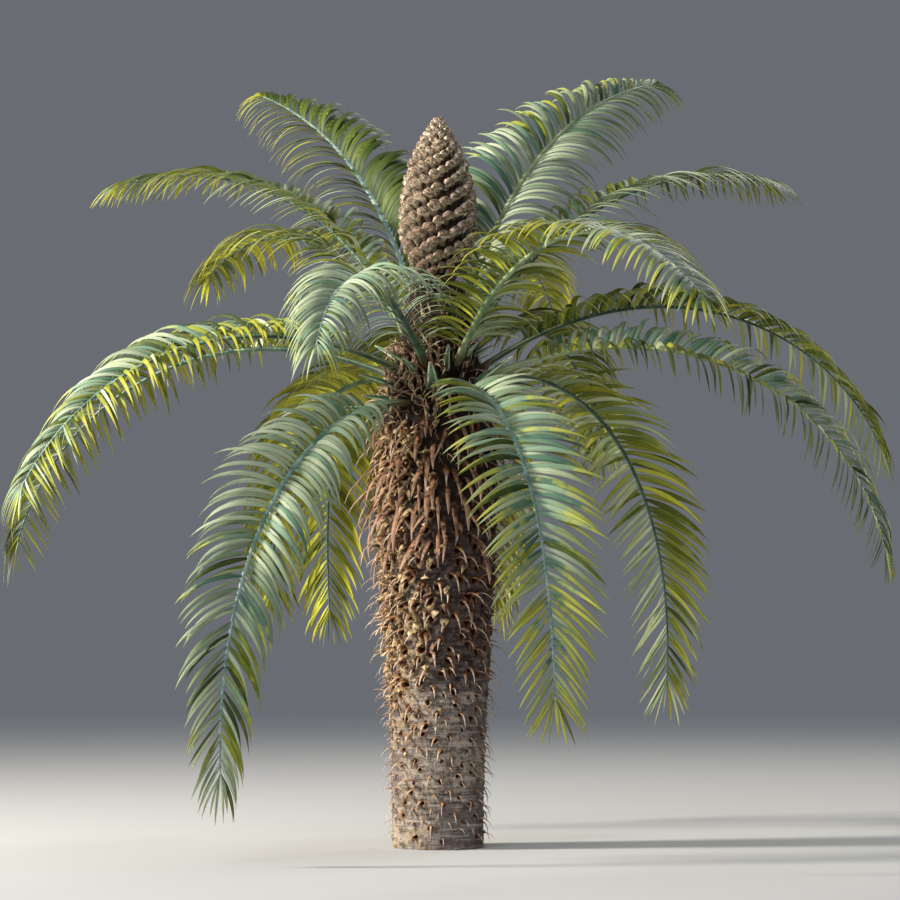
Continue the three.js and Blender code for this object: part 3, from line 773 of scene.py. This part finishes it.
# Azimuth, rise, droop, ease, sweep, twist in degrees, then length, stalk height and the
# inner and outer tone of the leaflets on the left and on the right of the rib. One tone
# stands for all four.
FRONDS = [
    # The first frond's right leaflets take the dark green tone, which is painted shade.
    (109, 52, 36, 1.15, 18, 22, 1.35, 1.36, "lime lime green green"),
    (150, 71, 84, 1.0, 8, 0, 1.14, 1.34, "pale pale mixed lime"),
    (121, 43, 71, 1.3, -1, 0, 1.37, 1.33, "lime gold lime gold"),
    (-107, 34, 75, 1.35, 8, 0, 1.27, 1.31, "silver"),
    (-151, 24, 83, 1.15, 5, 8, 1.34, 1.30, "lime lime mixed pale"),
    (160, 24, 97, 1.15, -1, -15, 1.42, 1.28, "mixed silver lime lime"),
    (113, 22, 137, 1.25, -16, 0, 1.34, 1.26, "gold"),
    (-128, 7, 100, 0.8, 12, 42, 1.47, 1.22, "silver sage frost sage"),
    (-72, 4, 87, 1.0, -8, 0, 1.43, 1.27, "teal"),
    (48, 19, 115, 0.9, 14, 0, 1.50, 1.27, "pale frost moss moss"),
    (11, 35, 101, 1.25, -3, 10, 1.35, 1.30, "moss frost moss lime"),
    (-2, 24, 100, 1.2, -1, -25, 1.38, 1.28, "teal silver mixed pale"),
    (-61, 51, 91, 1.15, 9, 0, 1.33, 1.31, "silver silver lime pale"),
    (58, 65, 57, 1.1, -6, -27, 1.35, 1.36, "silver pale frost frost"),
    (35, 54, 64, 1.15, 5, 0, 1.28, 1.36, "mixed moss frost frost"),
    (74, 37, 67, 1.3, 4, 0, 1.36, 1.33, "gold"),
    (97, 32, 118, 1.1, 4, 10, 1.20, 1.29, "moss"),
    (80, 18, 112, 1.0, -6, -10, 1.10, 1.24, "teal"),
    (63, 32, 92, 1.15, 6, 0, 1.18, 1.30, "moss"),
    (124, 20, 114, 1.05, -6, 0, 1.13, 1.25, "gold"),
]
FROND_NODES = [
    f"frond_{i + 1:02d}_{half}" for i in range(len(FRONDS)) for half in ("inner", "outer")
]


def rolled(across, face, roll):
    """Two directions after a roll about the third."""
    return across * np.cos(roll) + face * np.sin(roll), face * np.cos(roll) - across * np.sin(roll)


def limb_frames(radius, azimuth, height, rise, droop, ease, sweep, twist, length):
    """Points and directions along a limb that starts at a radius, an azimuth and a height.

    Its slope is rise less droop times place to the power ease, its heading is azimuth plus
    sweep times place to SWEEP_EASE, and its blade rolls by twist, most of it near the stalk.
    """
    start = around(radius, np.radians(azimuth), height)

    def axes(at):
        slope = np.radians(rise - droop * at**ease)
        head = np.radians(azimuth + sweep * at**SWEEP_EASE)
        roll = (np.radians(twist) * (1 - (1 - at) ** 3))[:, None]
        level = np.cos(slope)
        along = np.stack([level * np.cos(head), level * np.sin(head), np.sin(slope)], 1)
        flat = np.stack([np.sin(head), -np.cos(head), 0 * head], 1)
        return along, *rolled(flat, np.cross(flat, along), roll)

    steps = axes((np.arange(PATH_STEPS) + 0.5) / PATH_STEPS)[0] * length / PATH_STEPS
    path = np.vstack([start, start + np.cumsum(steps, 0)])
    return (path, *axes(np.linspace(0, 1, PATH_STEPS + 1)))


def at_place(frames, place):
    """The frames' points and directions at places from 0 to 1, read off between steps."""
    x = np.clip(place, 0, 1) * PATH_STEPS
    i = np.minimum(x.astype(int), PATH_STEPS - 1)
    share = (x - i)[..., None]
    return [values[i] * (1 - share) + values[i + 1] * share for values in frames]


def rib_half(place):
    flare = RIB_FLARE * np.exp(-place / RIB_FLARE_LENGTH)
    return RIB_TIP_HALF + RIB_HALF * (1 - place) + flare


def channel_rings(frames, places, half, channel):
    """Rings of a limb that is rounded below and has a channel along the top."""
    path, along, across, face = at_place(frames, places)
    angle = np.arange(RIB_SIDES) * 2 * np.pi / RIB_SIDES
    wide, high = np.cos(angle), np.sin(angle)
    high = high * 0.88 - channel * np.exp(-((wide / 0.42) ** 2)) * (high > 0)
    return (
        path[:, None]
        + across[:, None] * (half[:, None] * wide)[..., None]
        + face[:, None] * (half[:, None] * high)[..., None]
    )


frond_frames = []
rib_rings = []
rib_places = np.linspace(0, 1, RIB_ROWS) ** 1.25
for azimuth, *bend, stalk_height, tones in FRONDS:
    radius = STALK_TOP_RADIUS + (STALK_TOP - stalk_height) * STALK_SPREAD
    frames = limb_frames(radius, azimuth, stalk_height, *bend)
    frond_frames.append(frames)
    rib_rings.append(channel_rings(frames, rib_places, rib_half(rib_places), RIB_CHANNEL))

RIB_TINTS = [
    ("rib_teal", (0.085, 0.185, 0.155), (0.30, 0.43, 0.37)),
    ("rib_cream", (0.20, 0.27, 0.115), (0.46, 0.51, 0.27)),
    ("rib_dark", (0.030, 0.066, 0.040), (0.12, 0.175, 0.105)),
    ("rib_under", (0.016, 0.052, 0.034), (0.065, 0.145, 0.075)),
    ("rib_under_pale", (0.110, 0.190, 0.080), (0.33, 0.43, 0.22)),
]
# Fronds, counted from 0, whose ribs are cream or dark on top. The others are blue-green.
CREAM_RIBS = [11, 12, 13]
DARK_RIBS = [6, 9, 10, 14, 16, 18, 19]
rib_finishes = []
for name, low, high in RIB_TINTS:
    rib = Finish(name, Roughness=0.45)
    rib_cloud = rib.cloud(18.0, 4.0)
    rib_body = rib.blend(rib_cloud.between(0.35, 0.65), low, high)
    rib_wool = (rib.own("place") + (rib_cloud - 0.5) * 0.05).between(0.075, 0.015)
    rib.set("Base Color", rib.blend(rib_wool * 0.85, rib_body, (0.15, 0.085, 0.045)))
    rib.relief(rib.cloud(140.0, 3.0), 0.0008)
    rib_finishes.append(rib)

rib_slots = np.zeros((len(FRONDS), RIB_ROWS - 1, RIB_SIDES), int)
rib_slots[CREAM_RIBS] = 1
rib_slots[DARK_RIBS] = 2
rib_slots[:, :, RIB_SIDES // 2:] = 3
rib_slots[CREAM_RIBS, :, RIB_SIDES // 2:] = 4
stalk_rows = np.nonzero(rib_places[:-1] < RIB_EDGE_REACH)[0]
rib_slots[:, stalk_rows, 0] = 1
rib_slots[:, stalk_rows, RIB_SIDES // 2 - 1] = 1
ribs = solid(
    "frond_ribs", np.stack(rib_rings), rib_finishes, rib_slots, (3, 3),
    {"place": rib_places[:, None]},
)
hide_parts(*FROND_NODES)


# Leaflets. About a hundred and fifty stiff, narrow leaflets stand on each rib. Each leaves it
# at a slant, rises and folds over outwards, and is a closed blade with a raised middle.
LEAF_PAIRS = 72
LEAF_START = 0.13
LEAF_LENGTH = 0.230
LEAF_HALF = 0.0083
LEAF_HALF_DEPTH = 0.0007
LEAF_FOLD = 0.20
LEAF_FULL_AT = 0.35
LEAF_BASE_LOSS = 0.5
LEAF_TIP_LOSS = 0.42
LEAF_STEPS = 11
LEAF_SAG = 0.1
LEAF_TIP_SAG = 0.8
LEAF_SAG_EASE = 1.5
# Degrees at the stalk, and how much less they are at the tip of the frond.
LEAF_SLANT = (80, 45)
LEAF_LIFT = (66, 42)
LEAF_TURN = (125, 40)
END_LEAFLETS = 5
END_PLACE = 0.996
END_LENGTH = (0.100, 0.150)
# Fronds, counted from 0, that carry leaflets further down the stalk, and how much of these
# low leaflets' length is lost.
LOW_STARTS = {3: 0.055, 12: 0.050, 14: 0.070, 15: 0.070}
LOW_LOSS = 0.22
# Fronds, from 0, whose leaflets stand in bunches, how many there are, and the pull to them.
BUNCHED = [0]
BUNCHES = 13
BUNCH_PULL = 0.0095


def held(roll=-30, lift=1.0, fold=1.0, sag=1.0, lean=1.0, width=1.0):
    """How leaflets are held: roll in degrees, then shares of what is usual.

    These are of the lift, the fold, the sag at the frond's tip, the lean forward and the width.
    """
    return roll, lift, fold, sag, lean, width


# Fronds, from 0, whose leaflets aren't held as usual, on the left and right of the rib.
STIFF = held(-30, 0.60, 0.48, 0.12, 1.0, 1.05)
SPLAYED = held(-30, 0.85, 0.75, 0.35, 0.45, 0.90)
HABITS = {
    0: (held(-38, width=0.9), held(5, 1.35, 1.05, width=1.5)),
    1: (held(-52, width=0.9), held(-10, width=0.9)),
    2: (held(-15, width=1.1), held(-20, 0.9, 0.9, 0.8, 0.8, 1.3)),
    3: (held(width=0.85), held()),
    4: (SPLAYED, held(-45, width=0.75)),
    5: (held(-45, width=0.75), SPLAYED),
    7: (held(-30, 1.1, 1.2, 1.0, 1.15, 1.1), held()),
    8: (STIFF, STIFF),
    9: (STIFF, STIFF),
    10: (held(-10, 0.85, 0.8, 0.5, 0.7, 0.9), held(-38)),
    11: (held(0), held(-35, 0.85, 0.75, 0.4, 0.5, 1.1)),
    12: (held(5, 0.75, 0.7, 0.5, 1.0, 1.1), held(-15, 0.9, 0.8, 0.5, 0.6, 1.35)),
    13: (held(16, 1.15, 0.85, width=1.05), held(35, width=0.58)),
    14: (held(-10), held(-22, 0.9, 0.95, 0.7, 0.8, 1.05)),
}


def unit(vectors):
    return vectors / np.linalg.norm(vectors, axis=-1, keepdims=True)


def leaflet_share(u, base_loss=LEAF_BASE_LOSS):
    """Share of the longest leaflet: short at the stalk and at the tip."""
    low = 1 - base_loss * (1 - np.minimum(u / LEAF_FULL_AT, 1)) ** 2
    beyond = np.maximum(u - LEAF_FULL_AT, 0) / (1 - LEAF_FULL_AT)
    return low * (1 - LEAF_TIP_LOSS * beyond**2)


def frond_leaflets(frames, place, u, side, slant, length, habit):
    """Rings of a frond's leaflets for solid, and where each root stands.

    A leaflet rises above the blade by its lift and turns down evenly along its length, and
    gravity pulls more the further out. The habit holds each leaflet's roll and its shares of
    lift, turn, pull, lean and width.
    """
    count = len(u)
    roll, lift_share, fold_share, sag_share, _, width_share = habit
    path, along, across, face = at_place(frames, place)
    half = rib_half(place)[:, None]
    root = path + across * side[:, None] * half * 0.80 + face * half * 0.15
    lift = (LEAF_LIFT[0] - LEAF_LIFT[1] * u) * lift_share
    lift = np.radians(lift + random.normal(0, 5.0, count))[:, None]
    fold = (LEAF_TURN[0] - LEAF_TURN[1] * u) * fold_share
    fold = np.radians(fold + random.normal(0, 9.0, count))[:, None]
    sag = (LEAF_SAG + LEAF_TIP_SAG * sag_share * u**LEAF_SAG_EASE)[:, None]
    share = np.linspace(0, 1, LEAF_STEPS + 1)

    def heading(at):
        rise = lift - fold * at
        level = (np.sin(slant)[:, None] * np.cos(rise) * side[:, None])[..., None]
        upward = (np.sin(slant)[:, None] * np.sin(rise))[..., None]
        forward = np.cos(slant)[:, None, None]
        aim = along[:, None] * forward + across[:, None] * level + face[:, None] * upward
        aim[..., 2] -= sag * at
        return unit(aim)

    steps = heading((share[1:] + share[:-1]) / 2) * (length / LEAF_STEPS)[:, None, None]
    line = np.concatenate([root[:, None], root[:, None] + np.cumsum(steps, 1)], 1)
    aim = heading(share)
    flat = unit(along[:, None] - aim * np.sum(along[:, None] * aim, -1, keepdims=True))
    upper = np.cross(aim, flat) * side[:, None, None]
    roll = np.radians(roll + random.normal(0, 7, count))[:, None, None]
    flat, upper = rolled(flat, upper, roll)
    width = LEAF_HALF * (0.60 + 0.40 * leaflet_share(u)) * (1 - 0.28 * u**3)
    width = width * width_share * random.uniform(0.80, 1.15, count)
    swell = np.minimum(0.40 + 0.60 * (share / 0.26) ** 0.8, 1.0)
    taper = swell * np.clip(1 - share**2.3, 0, 1) ** 0.95 + 0.02
    wide = (width[:, None] * taper)[..., None]
    rise = wide * LEAF_FOLD
    deep = LEAF_HALF_DEPTH * (0.5 + 0.5 * taper)[None, :, None]
    # Sides in the order that turns right-handed about the aim for either side of the rib.
    edge = flat * wide * side[:, None, None]
    ridge, keel = line + upper * (deep + rise), line - upper * (deep - rise)
    return np.stack([line + edge, ridge, line - edge, keel], 2), root + face * half * 0.20


# Low and high colour, the colour of yellowing ends and how far it goes.
LEAF_TINTS = {
    "leaf_silver": ((0.18, 0.245, 0.145), (0.47, 0.535, 0.355), (0.36, 0.40, 0.10), 0.50),
    "leaf_teal": ((0.080, 0.175, 0.108), (0.255, 0.370, 0.240), (0.50, 0.50, 0.085), 0.95),
    "leaf_green": ((0.034, 0.060, 0.009), (0.105, 0.142, 0.024), (0.22, 0.23, 0.03), 0.40),
    "leaf_moss": ((0.115, 0.145, 0.010), (0.29, 0.315, 0.030), (0.50, 0.46, 0.06), 0.60),
    # The olive and gold undersides are the leaflets' own yellow-green made brighter and more
    # saturated: painted light shining through the leaflets.
    "leaf_olive_under_lit_through": ((0.110, 0.140, 0.010), (0.310, 0.345, 0.045), (0.42, 0.42, 0.06), 0.5),
    "leaf_gold_under_lit_through": ((0.235, 0.245, 0.010), (0.57, 0.58, 0.055), (0.64, 0.57, 0.05), 0.5),
    "leaf_dark_under": ((0.045, 0.062, 0.007), (0.125, 0.145, 0.015), (0.24, 0.24, 0.03), 0.5),
    "leaf_pale_under": ((0.22, 0.29, 0.135), (0.54, 0.60, 0.36), (0.52, 0.50, 0.14), 0.5),
}
leaf_finishes = []
for name, (low, high, faded, fade_share) in LEAF_TINTS.items():
    leaf = Finish(name, Roughness=0.55, Specular_IOR_Level=0.25)
    leaf_patch = leaf.cloud(11.0, 4.0)
    leaf_blot = leaf.cloud(26.0, 2.0)
    leaf_lane = leaf.node(
        "ShaderNodeTexNoise", {"noise_dimensions": "1D"},
        {"W": leaf.own("lane"), "Scale": 2.8, "Detail": 3.0},
    )
    leaf_share = leaf_patch * 0.28 + leaf_lane * 0.38 + leaf.own("tint") * 0.34
    leaf_body = leaf.blend(leaf_share.between(0.36, 0.64), low, high)
    leaf_fade = leaf.own("along") * 0.42 + leaf_blot * 0.66 + leaf.own("worn") * 0.32
    leaf_body = leaf.blend(leaf_fade.between(0.68, 0.90) * fade_share, leaf_body, faded)
    # Painted shade: each leaflet's margins are darkened to stand for the shadowed gaps between
    # leaflets.
    leaf_margin_painted_shade = leaf.own("rim").between(0.62, 1.0) * 0.7
    leaf.set("Base Color", leaf.blend(leaf_margin_painted_shade, leaf_body, [0.5 * value for value in low]))
    leaf.relief(leaf_lane, 0.0007)
    leaf_finishes.append(leaf)
# For each tone: shares of the four upper and the four under colours, and how worn the
# leaflets are at the stalk and at the tip, which yellows their ends.
TONES = {
    "silver": ((0.70, 0.24, 0.04, 0.02), (0.36, 0.12, 0.10, 0.42), (0.05, 0.50)),
    "frost": ((0.86, 0.10, 0.01, 0.03), (0.10, 0.06, 0.00, 0.84), (0.10, 0.55)),
    "pale": ((0.50, 0.26, 0.08, 0.16), (0.24, 0.16, 0.02, 0.58), (0.25, 0.90)),
    "sage": ((0.62, 0.06, 0.07, 0.25), (0.24, 0.06, 0.04, 0.66), (0.10, 0.65)),
    "teal": ((0.26, 0.64, 0.06, 0.04), (0.46, 0.30, 0.08, 0.16), (0.15, 1.50)),
    # green is painted shade: dark green tops for leaflets that stand in shade.
    "green": ((0.00, 0.00, 1.00, 0.00), (0.52, 0.00, 0.48, 0.00), (0.00, 0.20)),
    "mixed": ((0.34, 0.26, 0.18, 0.22), (0.44, 0.26, 0.06, 0.24), (0.30, 0.90)),
    "moss": ((0.04, 0.05, 0.44, 0.47), (0.60, 0.16, 0.12, 0.12), (0.20, 0.70)),
    "lime": ((0.14, 0.06, 0.14, 0.66), (0.58, 0.30, 0.02, 0.10), (0.35, 0.75)),
    "gold": ((0.04, 0.02, 0.20, 0.74), (0.22, 0.74, 0.03, 0.01), (0.45, 0.60)),
}
# Where on a frond its leaflets begin to change to the outer tone, and where all have.
TONE_CHANGE = (0.42, 0.72)
FRONDS_EACH = 5

callus_roots = []
for number in range(len(FRONDS) // FRONDS_EACH):
    first, last = number * FRONDS_EACH, (number + 1) * FRONDS_EACH
    grown = []
    for index in range(first, last):
        start = LOW_STARTS.get(index, LEAF_START)
        pairs = (np.arange(LEAF_PAIRS) + 0.5) / LEAF_PAIRS
        pairs = np.concatenate([pairs, pairs + 0.25 / LEAF_PAIRS])
        if index in BUNCHED:
            pairs += BUNCH_PULL * np.sin(2 * np.pi * BUNCHES * pairs)
        pairs += random.normal(0, 0.0028, 2 * LEAF_PAIRS)
        place = np.append(start + (1 - start) * pairs, np.full(END_LEAFLETS, END_PLACE))
        place = np.minimum(place, 0.998)
        u = np.maximum((place - LEAF_START) / (1 - LEAF_START), 0)
        end_side = np.where(np.arange(END_LEAFLETS) % 2, 1.0, -1.0)
        side = np.append(np.repeat([-1.0, 1.0], LEAF_PAIRS), end_side)
        minus, plus = np.array(HABITS.get(index, (held(), held())))
        habit = np.where(side > 0, plus[:, None], minus[:, None])
        slant = LEAF_SLANT[0] - LEAF_SLANT[1] * habit[4] * u**1.2
        slant += random.normal(0, 3.6, len(u))
        slant[-END_LEAFLETS:] = np.linspace(26, 4, END_LEAFLETS)
        base_loss = LOW_LOSS if index in LOW_STARTS else LEAF_BASE_LOSS
        length = LEAF_LENGTH * leaflet_share(u, base_loss) * random.uniform(0.86, 1.05, len(u))
        length[-END_LEAFLETS:] = random.uniform(*END_LENGTH, END_LEAFLETS)
        ring, root = frond_leaflets(
            frond_frames[index], place, u, side, np.radians(slant), length, habit
        )
        callus_roots.append(root)
        wear, up, under = np.zeros(len(u)), np.zeros(len(u), int), np.zeros(len(u), int)
        outer = random.random(len(u)) < np.interp(u, TONE_CHANGE, [0.0, 1.0])
        quarter = 2 * (side > 0) + outer
        for which, tone in enumerate((FRONDS[index][-1].split() * 4)[:4]):
            part = quarter == which
            up_shares, under_shares, (worn_low, worn_high) = TONES[tone]
            wear[part] = worn_low + (worn_high - worn_low) * u[part]
            up[part] = random.choice(4, part.sum(), p=up_shares)
            under[part] = 4 + random.choice(4, part.sum(), p=under_shares)
        grown.append((ring, up, under, wear + random.normal(0, 0.16, len(u))))
    rings, up, under, worn = (np.concatenate(values) for values in zip(*grown))
    tint = random.random(len(rings))[:, None, None]
    leaflets = solid(
        f"frond_leaflets_{number + 1}", rings, leaf_finishes,
        np.where(np.arange(4) < 2, up[:, None, None], under[:, None, None]), (up, up),
        {
            "along": from_root(rings),
            "rim": np.array([1.0, 0.0, 1.0, 0.0]),
            "tint": tint,
            "worn": worn[:, None, None],
            "lane": tint * 40 + np.array([-1.0, 0.0, 1.0, 0.0]),
        },
        75.0,
    )
    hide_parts(*FROND_NODES[2 * first:2 * last])


# Calluses. Where each leaflet joins the rib there is a small hard pale bump, a ball of
# three rings that is half sunk in the rib.
CALLUS_HALF = 0.0021
CALLUS_SIDES = 5
CALLUS_RINGS = np.radians([-52, 0, 52])[:, None]

roots = np.concatenate(callus_roots)
callus_size = CALLUS_HALF * random.uniform(0.7, 1.15, len(roots))
callus_angle = np.arange(CALLUS_SIDES) * 2 * np.pi / CALLUS_SIDES
callus_shape = np.stack([
    np.cos(CALLUS_RINGS) * np.cos(callus_angle), np.cos(CALLUS_RINGS) * np.sin(callus_angle),
    np.sin(CALLUS_RINGS) + 0 * callus_angle,
], -1)
callus = mottled(
    "leaf_callus", 0.6, (30.0, 2.0), (0.20, 0.27, 0.16), (0.50, 0.54, 0.36), 0.0006,
    fine=(300.0, 2.0),
)
callus_rings = roots[:, None, None] + callus_size[:, None, None, None] * callus_shape
calluses = solid("frond_calluses", callus_rings, [callus])
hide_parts(*FROND_NODES)


# Cut stalks. Where old fronds were sawn off, broad green stumps that narrow to a small
# torn, dry end are left round the crown, each with pale lines along its channel that are
# painted highlights.
# Azimuth, height, rise, length and half of the width.
STUBS = [
    (-170, 1.200, 8, 0.180, 0.009), (-146, 1.222, 15, 0.130, 0.010),
    (-148, 1.256, 24, 0.145, 0.009), (-138, 1.316, 34, 0.100, 0.009),
    (-122, 1.296, 40, 0.085, 0.010), (-96, 1.262, 48, 0.105, 0.015),
    (-80, 1.300, 56, 0.105, 0.010), (-44, 1.330, 50, 0.085, 0.009),
    (-36, 1.262, 38, 0.165, 0.010), (-20, 1.236, 34, 0.105, 0.011),
    (-18, 1.340, 36, 0.085, 0.007), (30, 1.262, 26, 0.110, 0.010),
    (100, 1.222, 20, 0.100, 0.011), (175, 1.330, 38, 0.095, 0.009),
]
STUB_SINK = 0.020
STUB_SAG = 14
STUB_BASE = 1.75
STUB_LOSS = 1.40
STUB_CHANNEL = 0.40
STUB_HIGHLIGHT_LINES = [1, 4, 7, 10]
STUB_TORN_ROWS = 3
STUB_PLACES = np.array([0, 0.12, 0.25, 0.38, 0.5, 0.62, 0.74, 0.84, 0.91, 0.955, 0.985, 1.0])
STUB_END = np.array([1, 1, 1, 1, 1, 1, 1, 1, 0.98, 1.0, 0.95, 0.5])

stub_rings = []
for azimuth, stalk_height, rise, length, half in STUBS:
    radius = trunk_radius(stalk_height) - STUB_SINK
    frames = limb_frames(radius, azimuth, stalk_height, rise, STUB_SAG, 1.0, 0, 0, length)
    girth = half * (STUB_BASE - STUB_LOSS * STUB_PLACES**0.9) * STUB_END
    rings = channel_rings(frames, STUB_PLACES, girth, STUB_CHANNEL)
    torn = random.normal(0, 0.35, (STUB_TORN_ROWS, RIB_SIDES))[..., None]
    rings[-STUB_TORN_ROWS:] += torn * frames[1][-1] * half * 0.5
    stub_rings.append(rings)

stub_green = mottled(
    "stalk_skin", 0.42, (30.0, 4.0), (0.022, 0.092, 0.052), (0.11, 0.26, 0.14), 0.0006,
    fine=(160.0, 3.0),
)
# Painted highlight: the pale lines along each stalk's ridges.
stub_highlight = mottled(
    "stalk_painted_highlight", 0.5, (40.0, 4.0), (0.42, 0.53, 0.30), (0.78, 0.82, 0.58), 0.0006,
    fine=(160.0, 3.0),
)
stub_cut = mottled(
    "stalk_cut_end", 0.9, (300.0, 3.0), (0.22, 0.155, 0.10), (0.62, 0.56, 0.47), 0.0015
)

stub_slots = np.zeros((len(STUB_PLACES) - 1, RIB_SIDES), int)
stub_slots[:, STUB_HIGHLIGHT_LINES] = 1
stub_slots[-STUB_TORN_ROWS:] = 2
stub_finishes = [stub_green, stub_highlight, stub_cut]
stubs = solid("cut_stalks", np.stack(stub_rings), stub_finishes, stub_slots, (0, 2))
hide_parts(*[f"cut_stalk_{i + 1:02d}" for i in range(len(STUBS))])
